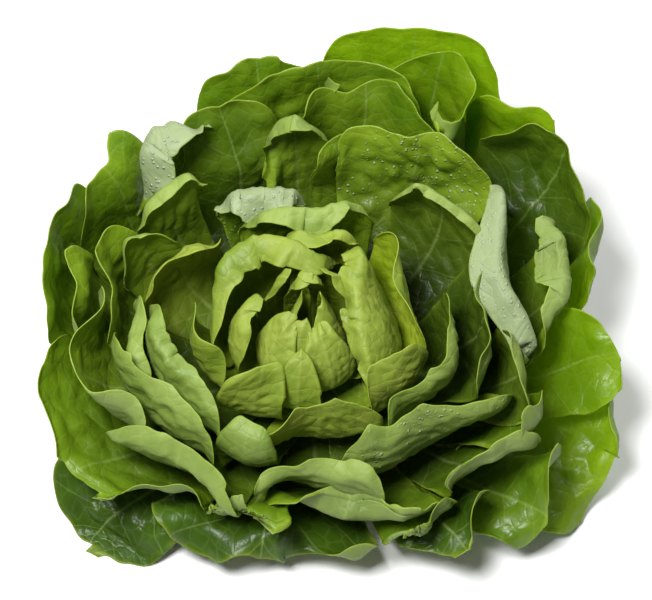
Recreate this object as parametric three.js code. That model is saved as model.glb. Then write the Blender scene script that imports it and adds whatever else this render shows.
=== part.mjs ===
// A butterhead lettuce: a short cut stem and the leaves that grow from it, each leaf one
// closed solid. Millimetres, +Z up. The cut face of the stem lies on z = 0, its centre is the
// origin, and the leaves lie in layers round the stem like nested bowls, so they never cross.
import * as THREE from 'three';

const { lerp, clamp, degToRad, smoothstep } = THREE.MathUtils;

// Driving dimensions of the head.
const HEAD_RADIUS = 148;        // reach of the outermost layer, all round
const HEAD_LOPSIDED = 9;        // how much further it reaches on the fuller side
const FULLER_SIDE = 50;         // azimuth of the fuller side, degrees
const SHORT_SIDE = 268;         // azimuth where the outer leaves are short, degrees
const SHORT_SIDE_CUT = 36;      // how much shorter they are there
const HEART_HEIGHT = 88;        // height of the heart's leaf rims
const OUTER_DROP = 32;          // how much lower the outermost rims hang
const HEART_TILT = 7;           // how much the heart's rims rise to the back and fall to the front
const OUTER_TILT = 43;          // how much more the outermost rims do so

// Powers that shape the head: how a layer's number, the drop and the tilt grow with the reach.
const LAYER_POWER = 1.5;
const DROP_POWER = 4;
const TILT_POWER = 3.5;
const SHORT_SIDE_POWER = 3;

// Driving dimensions of the stem.
const STEM_TOP = 44;            // where the youngest leaves grow
const STEM_TIP = 1;             // height of the growing tip above them
const LOWEST_LEAF = 4;          // where the oldest leaf grows
const STEM_TIP_RADIUS = 3;
const STEM_BASE_RADIUS = 17;
const STEM_GAP = 0.7;           // between the stem's skin and the middle of a leaf's foot
const STEM_STEPS = 10;
const STEM_SIDES = 20;

// Driving dimensions of a leaf.
const LEAF_THICKNESS = 0.8;
const LYING_HEIGHT = 0.41;      // height of a leaf's middle where it lies on the table
const FOOT_SPREAD = 26;         // half-width of a leaf's foot, degrees round the stem
const FOOT_END = 0.55;          // how far up a leaf is still widening
const CORNER_CUT = 0.2;         // how much shorter a leaf is at its sides than in its middle
const CORNER_POWER = 6;
const LEAN_POWER = 2;           // how late a leaf leaves its own layer for its rim's
const CELLS_UP = 7;
const DEGREES_PER_CELL = 11;
const FEWEST_CELLS_ACROSS = 4;

// How deeply a layer bellies out and sags before it rises.
const INNER_BELLY = 1.16;
const FRONT_CUP = 0.2;          // how much more the inner leaves belly at the front, less at the back
const OUTER_BELLY = 0.94;
const FLOOR_SHARE = 0.8;        // how far out towards the belly a layer stays low
const BELLY_HEIGHT = 0.4;       // height of the belly, as a share of the rise
const SAG = 11.5;
const SAG_WITH_HEIGHT = 0.12;
const HEART_FULLNESS = 26;      // how far the heart's front bellies past its rims, which close over it
const CLOSING_ENDS = 0.3;       // the layer from which leaves stand open

// The leaves, from the heart outwards: [azimuth, spread, age, top, reaches]. The azimuth of a
// leaf's midrib and the half-width of its blade are in degrees. Its age, from 0 to 1, is the
// layer that it grows in: how far down the stem its foot is. Top is how much of the rim's full
// height it grows to. The reaches are the rim's distances from the axis in millimetres, at even
// steps from the side with the lower azimuth to the other.
const LEAVES = {
  heart_leaf: [
    [292, 32, 0.03, 1.0, [14, 11, 11, 13]],
    [98, 42, 0.03, 1.0, [12, 10, 13, 10, 12]],
    [222, 34, 0.035, 1.0, [11, 11, 12, 13]],
    [238, 15, 0.205, 0.98, [56, 48, 38, 30, 26]],
    [185, 28, 0.08, 1.0, [21, 26, 31, 30, 28]],
    [5, 58, 0.14, 1.0, [36, 28, 26, 27, 31, 38]],
    [18, 34, 0.17, 1.0, [50, 47, 45, 45, 46]],
    [82, 26, 0.165, 1.0, [40, 38, 36, 36, 38]],
    [275, 30, 0.26, 0.98, [64, 60, 50, 46, 47, 47, 51]],
    [130, 70, 0.12, 1.0, [23, 23, 29, 41, 47, 45, 41]],
    [195, 22, 0.165, 0.98, [56, 55, 54, 50, 44]],
    [323, 20, 0.2, 0.98, [38, 41, 44, 46, 46]],
  ],
  inner_leaf: [
    [338, 36, 0.29, 0.95, [57, 57, 60, 64, 68, 70, 67]],
    [93, 34, 0.27, 1.0, [57, 52, 48, 47, 48, 51]],
    [80, 9, 0.53, 0.98, [97, 90, 83, 75, 68]],
    [40, 18, 0.43, 0.98, [92, 85, 76, 69, 64]],
    [273, 21, 0.46, 1.0, [80, 78, 76, 75, 75, 78, 82, 86]],
    [204, 30, 0.32, 1.0, [75, 74, 74, 72, 70, 68, 66]],
    [310, 30, 0.42, 1.0, [66, 65, 66, 69, 81, 89, 100]],
    [0, 26, 0.38, 0.96, [72, 80, 86, 90, 90, 88, 84]],
    [110, 18, 0.33, 0.98, [61, 61, 63, 67, 72]],
    [153, 20, 0.355, 1.0, [56, 62, 67, 74, 78]],
    [229, 21, 0.55, 1.0, [109, 103, 98, 94, 91, 89, 88]],
    [188, 17, 0.39, 0.96, [80, 82, 81, 78, 75]],
    [155, 9, 0.425, 0.98, [74, 81, 88, 91, 90]],
    [211, 27, 0.43, 1.0, [87, 87, 85, 83, 81, 79, 76, 72]],
    [15, 25, 0.52, 1.0, [110, 105, 102, 103, 107, 111]],
    [139, 11, 0.5, 1.0, [82, 87, 92, 96, 97]],
    [94, 10, 0.57, 1.0, [92, 98, 101, 101, 98]],
    [346, 13, 0.48, 0.97, [105, 106, 105, 103, 99]],
  ],
  wrapper_leaf: [
    [281, 26, 0.56, 1.0, [94, 91, 91, 93, 97, 103, 111]],
    [172, 13, 0.61, 0.99, [110, 109, 112, 115, 112]],
    [58, 22, 0.48, 1.0, [104, 102, 100, 93, 79]],
    [131, 9, 0.74, 1.0, [114, 114, 115, 114, 111]],
    [194, 24, 0.51, 1.0, [104, 101, 104, 106, 101, 96, 93]],
    [112, 14, 0.7, 0.98, [113, 109, 105, 102, 97]],
    [335, 8, 0.56, 1.0, [109, 110, 112, 114, 115]],
    [252, 11, 0.62, 1.0, [102, 101, 99, 98, 100]],
    [321, 12, 0.61, 1.0, [114, 112, 113, 115, 118]],
    [168, 18, 0.465, 1.0, [96, 103, 99, 93, 90]],
    [76, 24, 0.65, 1.0, [110, 113, 113, 108, 101]],
    [10, 15, 0.66, 1.0, [123, 131, 137, 138, 132]],
  ],
  outer_leaf: [
    [88, 26, 0.77, 1.0, [120, 124, 126, 121, 108]],
    [143, 14, 0.785, 1.0, [124, 123, 119, 115, 112]],
    [102, 16, 0.87, 1.0, [131, 132, 129, 123, 118]],
    [300, 10, 0.665, 0.99, [106, 108, 111, 112, 114]],
    [210, 30, 0.7, 1.0, [123, 127, 131, 132, 121, 108, 98]],
    [35, 14, 0.87, 1.0, [145, 147, 151, 156, 154, 145, 126]],
    [356, 11, 0.76, 1.0, [144, 149, 150, 147, 141]],
    [257, 32, 0.79, 1.0, [121, 117, 111, 106, 102, 98, 97]],
    [163, 18, 0.85, 1.0, [125, 127, 128, 127, 128]],
    [306, 12, 0.72, 1.0, [114, 120, 124, 126, 122]],
    [47, 9, 0.92, 1.0, [161, 160, 154, 147, 141]],
    [17, 11, 0.96, 1.0, [145, 148, 151, 154, 152]],
    [323, 11, 0.81, 1.0, [132, 140, 140, 132, 127]],
    [64, 13, 0.82, 1.0, [130, 141, 146, 140, 129]],
    [219, 15, 0.84, 1.0, [140, 142, 140, 134, 125]],
    [70, 21, 0.97, 1.0, [153, 157, 152, 144, 137]],
    [337, 15, 0.9, 1.0, [148, 154, 158, 158, 156, 155]],
  ],
};

const LEAF_COLOURS = {
  heart_leaf: '#bcc65a',
  inner_leaf: '#93ad45',
  wrapper_leaf: '#6d9338',
  outer_leaf: '#4f7d2a',
};
const STEM_COLOUR = '#dfe0bd';
const LEAF_ROUGHNESS = 0.5;
const STEM_ROUGHNESS = 0.6;

function cosOfTurn(azimuth, middle) {
  return Math.cos(degToRad(azimuth - middle));
}

// Reach of the outermost layer in the direction of an azimuth.
function headRadius(azimuth) {
  const fuller = HEAD_LOPSIDED * cosOfTurn(azimuth, FULLER_SIDE);
  const short = SHORT_SIDE_CUT * Math.max(0, cosOfTurn(azimuth, SHORT_SIDE)) ** SHORT_SIDE_POWER;
  return HEAD_RADIUS + fuller - short;
}

// The layer that has this reach at an azimuth, from 0 at the axis to 1 at the outside.
function layerOf(reach, azimuth) {
  return (reach / headRadius(azimuth)) ** LAYER_POWER;
}

function reachOf(layer, azimuth) {
  return headRadius(azimuth) * layer ** (1 / LAYER_POWER);
}

function rimHeight(layer, azimuth) {
  const middle = HEART_HEIGHT - OUTER_DROP * layer ** DROP_POWER;
  const tilt = HEART_TILT + OUTER_TILT * layer ** TILT_POWER;
  return middle + tilt * Math.sin(degToRad(azimuth));
}

function footRadius(layer) {
  return lerp(STEM_TIP_RADIUS, STEM_BASE_RADIUS, Math.sqrt(layer));
}

function footHeight(layer) {
  return lerp(STEM_TOP, LOWEST_LEAF, layer);
}

// The line in which a layer rises from the stem to its rim, as distance from the axis and height.
function layerLine(layer, azimuth) {
  const reach = reachOf(layer, azimuth);
  const height = rimHeight(layer, azimuth);
  const foot = new THREE.Vector2(footRadius(layer), footHeight(layer));
  const toBack = Math.sin(degToRad(azimuth));
  const cup = lerp(INNER_BELLY - FRONT_CUP * toBack, OUTER_BELLY, smoothstep(layer, CLOSING_ENDS, 1));
  const closing = (1 - smoothstep(layer, 0, CLOSING_ENDS)) * (1 - toBack) / 2;
  const belly = reach * cup + HEART_FULLNESS * closing;
  const sag = (SAG + SAG_WITH_HEIGHT * height) * layer ** 2;
  return new THREE.CubicBezierCurve(
    foot,
    new THREE.Vector2(lerp(foot.x, belly, FLOOR_SHARE), foot.y - sag),
    new THREE.Vector2(belly, lerp(foot.y, height, BELLY_HEIGHT)),
    new THREE.Vector2(reach, height),
  );
}

// A point of a leaf's middle surface. across runs from -1 to 1 between the leaf's sides, along
// from 0 at its foot to 1 at its rim. The foot is in the leaf's own layer, the rim at its reach.
function leafPoint([azimuth, spread, age, top, reaches], across, along) {
  const halfWidth = lerp(FOOT_SPREAD, spread, smoothstep(along, 0, FOOT_END));
  const turn = azimuth + across * halfWidth;
  const rise = along * top * (1 - CORNER_CUT * Math.abs(across) ** CORNER_POWER);
  const rim = new THREE.SplineCurve(reaches.map((reach, i) => new THREE.Vector2(i, reach)));
  const reach = rim.getPoint((across + 1) / 2).y;
  const layer = lerp(age, layerOf(reach, turn), rise ** LEAN_POWER);
  const { x: distance, y: height } = layerLine(layer, turn).getPoint(rise);
  const out = distance + STEM_GAP * (1 - along);
  const angle = degToRad(turn);
  return new THREE.Vector3(
    out * Math.cos(angle),
    out * Math.sin(angle),
    Math.max(height, LYING_HEIGHT),
  );
}

// The direction out of a leaf's surface, away from the heart.
function leafNormal(leaf, across, along) {
  const step = 0.02;
  const near = (value, low) => [clamp(value - step, low, 1), clamp(value + step, low, 1)];
  const [left, right] = near(across, -1).map((at) => leafPoint(leaf, at, along));
  const [below, above] = near(along, 0).map((at) => leafPoint(leaf, across, at));
  return right.sub(left).cross(above.sub(below)).normalize();
}

// A leaf's blade: an outer and an inner face on one grid, joined by a strip round the edge.
function leafGeometry(leaf) {
  const spread = leaf[1];
  const cellsAcross = Math.max(FEWEST_CELLS_ACROSS, 2 * Math.round(spread / DEGREES_PER_CELL));
  const columns = cellsAcross + 1;
  const rows = CELLS_UP + 1;
  const faceSize = columns * rows;
  const positions = [];
  for (const offset of [LEAF_THICKNESS / 2, -LEAF_THICKNESS / 2]) {
    for (let row = 0; row < rows; row += 1) {
      for (let column = 0; column < columns; column += 1) {
        const across = (2 * column) / cellsAcross - 1;
        const along = row / CELLS_UP;
        const point = leafPoint(leaf, across, along);
        positions.push(...point.addScaledVector(leafNormal(leaf, across, along), offset));
      }
    }
  }
  const index = [];
  const quad = (a, b, c, d) => index.push(a, b, c, a, c, d);
  for (let row = 0; row < CELLS_UP; row += 1) {
    for (let column = 0; column < cellsAcross; column += 1) {
      const a = row * columns + column;
      const b = a + 1;
      const c = b + columns;
      const d = a + columns;
      quad(a, b, c, d);
      quad(a + faceSize, d + faceSize, c + faceSize, b + faceSize);
    }
  }
  for (const [a, b] of edgeLoop(columns, rows)) {
    quad(b, a, a + faceSize, b + faceSize);
  }
  const geometry = new THREE.BufferGeometry();
  geometry.setAttribute('position', new THREE.Float32BufferAttribute(positions, 3));
  geometry.setIndex(index);
  geometry.computeVertexNormals();
  return geometry;
}

// The edges round a grid, each as two neighbouring points, anticlockwise seen from outside.
function edgeLoop(columns, rows) {
  const loop = [];
  for (let column = 0; column < columns - 1; column += 1) loop.push(column);
  for (let row = 0; row < rows - 1; row += 1) loop.push(row * columns + columns - 1);
  for (let column = columns - 1; column > 0; column -= 1) loop.push((rows - 1) * columns + column);
  for (let row = rows - 1; row > 0; row -= 1) loop.push(row * columns);
  return loop.map((point, i) => [point, loop[(i + 1) % loop.length]]);
}

function leafMesh(name, kind, leaf) {
  const material = new THREE.MeshStandardMaterial({
    color: LEAF_COLOURS[kind],
    roughness: LEAF_ROUGHNESS,
    metalness: 0,
    side: THREE.DoubleSide,
  });
  const mesh = new THREE.Mesh(leafGeometry(leaf), material);
  mesh.name = name;
  return mesh;
}

// The stem, turned round the axis: a flat cut face, and a taper that the leaves grow from.
function stemMesh() {
  const outline = [new THREE.Vector2(0, 0), new THREE.Vector2(STEM_BASE_RADIUS, 0)];
  for (let step = 0; step <= STEM_STEPS; step += 1) {
    const layer = 1 - step / STEM_STEPS;
    outline.push(new THREE.Vector2(footRadius(layer), footHeight(layer)));
  }
  outline.push(new THREE.Vector2(0, STEM_TOP + STEM_TIP));
  const geometry = new THREE.LatheGeometry(outline, STEM_SIDES);
  geometry.rotateX(Math.PI / 2);
  const material = new THREE.MeshStandardMaterial({
    color: STEM_COLOUR,
    roughness: STEM_ROUGHNESS,
    metalness: 0,
  });
  const mesh = new THREE.Mesh(geometry, material);
  mesh.name = 'stem';
  return mesh;
}

const lettuce = new THREE.Group();
lettuce.add(stemMesh());
for (const [kind, leaves] of Object.entries(LEAVES)) {
  leaves.forEach((leaf, i) => {
    lettuce.add(leafMesh(`${kind}_${String(i + 1).padStart(2, '0')}`, kind, leaf));
  });
}

export default lettuce;
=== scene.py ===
import math
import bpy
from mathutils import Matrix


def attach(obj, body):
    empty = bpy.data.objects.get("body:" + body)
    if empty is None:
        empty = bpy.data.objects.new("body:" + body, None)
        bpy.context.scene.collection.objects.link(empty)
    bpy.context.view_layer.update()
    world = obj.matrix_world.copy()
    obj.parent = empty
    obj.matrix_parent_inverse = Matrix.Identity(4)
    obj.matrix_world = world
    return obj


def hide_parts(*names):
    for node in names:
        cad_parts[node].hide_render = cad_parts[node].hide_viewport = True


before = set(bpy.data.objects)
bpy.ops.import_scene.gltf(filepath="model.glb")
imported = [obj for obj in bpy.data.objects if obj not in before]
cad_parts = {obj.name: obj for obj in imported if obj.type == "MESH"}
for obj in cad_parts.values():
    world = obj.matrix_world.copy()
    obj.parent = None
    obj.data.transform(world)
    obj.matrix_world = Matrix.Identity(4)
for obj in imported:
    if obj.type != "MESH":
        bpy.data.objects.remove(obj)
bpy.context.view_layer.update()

import zlib

import bpy
import numpy as np

bl_info = {
    "name": "Butterhead Lettuce",
    "version": (1, 0, 0),
    "blender": (4, 5, 0),
    "location": "3D View > Sidebar > Lettuce",
    "description": "A head of butterhead lettuce with its stem and its separate leaves",
    "category": "Add Mesh",
}

MM = 0.001
DEGREES_PER_RADIAN = 57

# The head's layers, as in the frame. Millimetres, and degrees of azimuth.
HEAD_RADIUS = 148  # reach of the outermost layer, all round
HEAD_LOPSIDED = 9  # how much further it reaches on the fuller side
FULLER_SIDE = 50
SHORT_SIDE = 268
SHORT_SIDE_CUT = 36  # how much shorter the outer leaves are there
HEART_HEIGHT = 88  # of the heart's rims
OUTER_DROP = 32  # how much lower the outermost rims hang
HEART_TILT = 7  # how much the heart's rims rise to the back and fall to the front
OUTER_TILT = 43  # how much more the outermost rims do so

# Powers that shape the head: how a layer's number, the drop and the tilt grow with the reach.
LAYER_POWER = 1.5
DROP_POWER = 4
TILT_POWER = 3.5
SHORT_SIDE_POWER = 3

# How deeply a layer bellies out and sags before it rises.
INNER_BELLY = 1.16
FRONT_CUP = 0.2  # how much more the inner leaves belly at the front, and less at the back
OUTER_BELLY = 0.94
FLOOR_SHARE = 0.8  # how far out towards the belly a layer stays low
BELLY_HEIGHT = 0.4  # height of the belly, as a share of the rise
SAG = 11.5
SAG_WITH_HEIGHT = 0.12
HEART_FULLNESS = 26  # how far the heart's front bellies past its rims, which close over it
CLOSING_ENDS = 0.3  # the layer from which leaves stand open

# The stem.
STEM_TOP = 44  # where the youngest leaves grow
STEM_TIP = 0.6  # height of the growing tip above them
LOWEST_LEAF = 4  # where the oldest leaf grows
STEM_TIP_RADIUS = 3
STEM_BASE_RADIUS = 17
STEM_GAP = 0.7  # between the stem's skin and the middle of a leaf's foot
STEM_INSET = 0.4  # how far the finished skin lies inside the frame's
STEM_RIBS = 7
STEM_SIDES = 64
STEM_RINGS = 24

# A leaf's outline.
FOOT_SPREAD = 26  # half-width of its foot, degrees round the stem
FOOT_END = 0.55  # how far up it is still widening
CORNER_CUT = 0.2  # how much shorter it is at its sides than in its middle
CORNER_POWER = 6
LEAN_POWER = 2  # how late it leaves its own layer for its rim's
LYING_HEIGHT = 0.6  # of its middle where it lies on the table
LYING_SOFTNESS = 1.2  # over how much height it comes to lie
FULL_REACH = 110  # a leaf with this reach has waves at full size
ROW_POWER = 1.3  # how much closer the grid's rows lie at the rim than at the foot

# How leaves bend and ruffle that lie against each other: wavelength in millimetres, and a seed
# that all leaves share, so that neighbours move together.
BEND = (95, 3)
RUFFLE = (52, 4)

# The waves of a leaf's own: wavelength, and what is added to the leaf's seed.
NIBBLES = (6, 0)
POINTS = (34, 1)
CRINKLES = (18, 2)
ROLL_SWAY = (40, 5)
STRIP_SWAY = (40, 6)
VEIN_WANDER = (50, 7)
TONE = (1, 8)
RAGS = (30, 9)
MARGIN_WAVES = (30, 10)
BLISTER_LENGTHS = (5, 14)  # at the least, and how much more a leaf of full size has
BLISTER_SEED = 3

# How a rim rolls where nothing is said, in degrees and millimetres, and how that sways.
BACK_ROLL = 14
FRONT_ROLL = 42
ROLL_SWING = 14
ROLL_EASE = 0.15  # over what share of its half-width the roll eases out at the corners
STRIP_WIDTH = 14
STRIP_SWING = 0.15
FOLD_CALMS = (50, 100)  # the angles at which a strip begins to lose its ruffles, and has
FOLD_STEPS = 33
SIDE_ROLLS = (8, 8)
SIDE_STRIP_WIDTH = 16

# How uneven the rim is, as shares of the blade's length, which grows with the reach.
POINT_SIZE = 0.05
RAG_SIZE = 0.018
NIBBLE_SIZE = 0.004
LEAST_LENGTH = 60
LENGTH_WITH_REACH = 0.75

# How far in from the rim and from the sides the margin's ruffles reach, and between which places
# along it the blade comes free of its neighbours.
RIM_DEPTH = 22
SIDE_DEPTH = 12
FREE = (0.25, 0.85)

# Veins, in millimetres: their height, how far apart the side veins are, how steeply they rise,
# and the widths.
VEIN_HEIGHT = 0.5
VEIN_SPACING = 20
VEIN_SLOPE = 0.85
SIDE_VEIN_WIDTH = 1.6
MIDRIB_WIDTH = 2.2
BLADE_SPAN = 400  # millimetres of leaf to one unit of its UV map

# Half the thickness of a leaf's outer side at its margin and in its blade, what its midrib adds
# near the foot, and how the inner side follows it.
MARGIN_HALF = 0.22
BLADE_HALF = 0.38
MIDRIB_BULGE = 1.7
INNER_SHARE = 0.35
INNER_LEAST = 0.14

# The leaves, as in the frame: azimuth of the midrib and half-width in degrees, age (the layer a
# leaf grows in, from 0 to 1), top (how much of the rim's height it grows to), and the reaches of
# its rim from the axis at even steps, from the side with the lower azimuth. The young leaves, at
# the very heart but for a narrow one in front of it, are in no node of the frame.
LEAVES = {
    "young_leaf": (
        (340, 75, 0.008, 1.0, (6, 5, 6, 5)),
        (150, 75, 0.004, 1.0, (4, 4, 3, 4)),
        (40, 40, 0.045, 1.0, (19, 17, 16, 17, 18)),
        (338, 20, 0.05, 1.0, (20, 19, 18, 19)),
        (262, 16, 0.1, 1.0, (27, 24, 23, 24)),
        (140, 24, 0.055, 1.0, (19, 18, 18, 17)),
        (246, 11, 0.38, 1.0, (66, 67, 67, 66, 64)),
        (252, 32, 0.016, 1.0, (7, 8, 7, 8)),
    ),
    "heart_leaf": (
        (292, 32, 0.03, 1.0, (14, 11, 11, 13)),
        (98, 42, 0.03, 1.0, (12, 10, 13, 10, 12)),
        (222, 34, 0.035, 1.0, (11, 11, 12, 13)),
        (238, 15, 0.205, 0.98, (56, 48, 38, 30, 26)),
        (185, 28, 0.08, 1.0, (21, 26, 31, 30, 28)),
        (5, 58, 0.14, 1.0, (36, 28, 26, 27, 31, 38)),
        (18, 34, 0.17, 1.0, (50, 47, 45, 45, 46)),
        (82, 26, 0.165, 1.0, (40, 38, 36, 36, 38)),
        (275, 30, 0.26, 0.98, (64, 60, 50, 46, 47, 47, 51)),
        (130, 70, 0.12, 1.0, (23, 23, 29, 41, 47, 45, 41)),
        (195, 22, 0.165, 0.98, (56, 55, 54, 50, 44)),
        (323, 20, 0.2, 0.98, (38, 41, 44, 46, 46)),
    ),
    "inner_leaf": (
        (338, 36, 0.29, 0.95, (57, 57, 60, 64, 68, 70, 67)),
        (93, 34, 0.27, 1.0, (57, 52, 48, 47, 48, 51)),
        (80, 9, 0.53, 0.98, (97, 90, 83, 75, 68)),
        (40, 18, 0.43, 0.98, (92, 85, 76, 69, 64)),
        (273, 21, 0.46, 1.0, (80, 78, 76, 75, 75, 78, 82, 86)),
        (204, 30, 0.32, 1.0, (75, 74, 74, 72, 70, 68, 66)),
        (310, 30, 0.42, 1.0, (66, 65, 66, 69, 81, 89, 100)),
        (0, 26, 0.38, 0.96, (72, 80, 86, 90, 90, 88, 84)),
        (110, 18, 0.33, 0.98, (61, 61, 63, 67, 72)),
        (153, 20, 0.355, 1.0, (56, 62, 67, 74, 78)),
        (229, 21, 0.55, 1.0, (109, 103, 98, 94, 91, 89, 88)),
        (188, 17, 0.39, 0.96, (80, 82, 81, 78, 75)),
        (155, 9, 0.425, 0.98, (74, 81, 88, 91, 90)),
        (211, 27, 0.43, 1.0, (87, 87, 85, 83, 81, 79, 76, 72)),
        (15, 25, 0.52, 1.0, (110, 105, 102, 103, 107, 111)),
        (139, 11, 0.5, 1.0, (82, 87, 92, 96, 97)),
        (94, 10, 0.57, 1.0, (92, 98, 101, 101, 98)),
        (346, 13, 0.48, 0.97, (105, 106, 105, 103, 99)),
    ),
    "wrapper_leaf": (
        (281, 26, 0.56, 1.0, (94, 91, 91, 93, 97, 103, 111)),
        (172, 13, 0.61, 0.99, (110, 109, 112, 115, 112)),
        (58, 22, 0.48, 1.0, (104, 102, 100, 93, 79)),
        (131, 9, 0.74, 1.0, (114, 114, 115, 114, 111)),
        (194, 24, 0.51, 1.0, (104, 101, 104, 106, 101, 96, 93)),
        (112, 14, 0.7, 0.98, (113, 109, 105, 102, 97)),
        (335, 8, 0.56, 1.0, (109, 110, 112, 114, 115)),
        (252, 11, 0.62, 1.0, (102, 101, 99, 98, 100)),
        (321, 12, 0.61, 1.0, (114, 112, 113, 115, 118)),
        (168, 18, 0.465, 1.0, (96, 103, 99, 93, 90)),
        (76, 24, 0.65, 1.0, (110, 113, 113, 108, 101)),
        (10, 15, 0.66, 1.0, (123, 131, 137, 138, 132)),
    ),
    "outer_leaf": (
        (88, 26, 0.77, 1.0, (120, 124, 126, 121, 108)),
        (143, 14, 0.785, 1.0, (124, 123, 119, 115, 112)),
        (102, 16, 0.87, 1.0, (131, 132, 129, 123, 118)),
        (300, 10, 0.665, 0.99, (106, 108, 111, 112, 114)),
        (210, 30, 0.7, 1.0, (123, 127, 131, 132, 121, 108, 98)),
        (35, 14, 0.87, 1.0, (145, 147, 151, 156, 154, 145, 126)),
        (356, 11, 0.76, 1.0, (144, 149, 150, 147, 141)),
        (257, 32, 0.79, 1.0, (121, 117, 111, 106, 102, 98, 97)),
        (163, 18, 0.85, 1.0, (125, 127, 128, 127, 128)),
        (306, 12, 0.72, 1.0, (114, 120, 124, 126, 122)),
        (47, 9, 0.92, 1.0, (161, 160, 154, 147, 141)),
        (17, 11, 0.96, 1.0, (145, 148, 151, 154, 152)),
        (323, 11, 0.81, 1.0, (132, 140, 140, 132, 127)),
        (64, 13, 0.82, 1.0, (130, 141, 146, 140, 129)),
        (219, 15, 0.84, 1.0, (140, 142, 140, 134, 125)),
        (70, 21, 0.97, 1.0, (153, 157, 152, 144, 137)),
        (337, 15, 0.9, 1.0, (148, 154, 158, 158, 156, 155)),
    ),
}

# How each kind of leaf is shaped: the cells of its grid across and along, and in millimetres how
# high it bends, ruffles, waves and crinkles at its margin, and blisters.
SHAPES = {
    "young_leaf": {
        "cells": (40, 44), "bend": 4.0, "ruffle": 6.0, "wave": 0.8, "crinkle": 0.4, "blister": 0.9
    },
    "heart_leaf": {
        "cells": (44, 48), "bend": 6.0, "ruffle": 6.0, "wave": 1.0, "crinkle": 0.5, "blister": 1.6
    },
    "inner_leaf": {
        "cells": (56, 54), "bend": 8.0, "ruffle": 8.0, "wave": 1.5, "crinkle": 0.8, "blister": 2.8
    },
    "wrapper_leaf": {
        "cells": (60, 56), "bend": 8.0, "ruffle": 8.0, "wave": 1.8, "crinkle": 0.9, "blister": 3.0
    },
    "outer_leaf": {
        "cells": (64, 58), "bend": 6.0, "ruffle": 7.0, "wave": 1.8, "crinkle": 0.9, "blister": 3.0
    },
}

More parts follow.
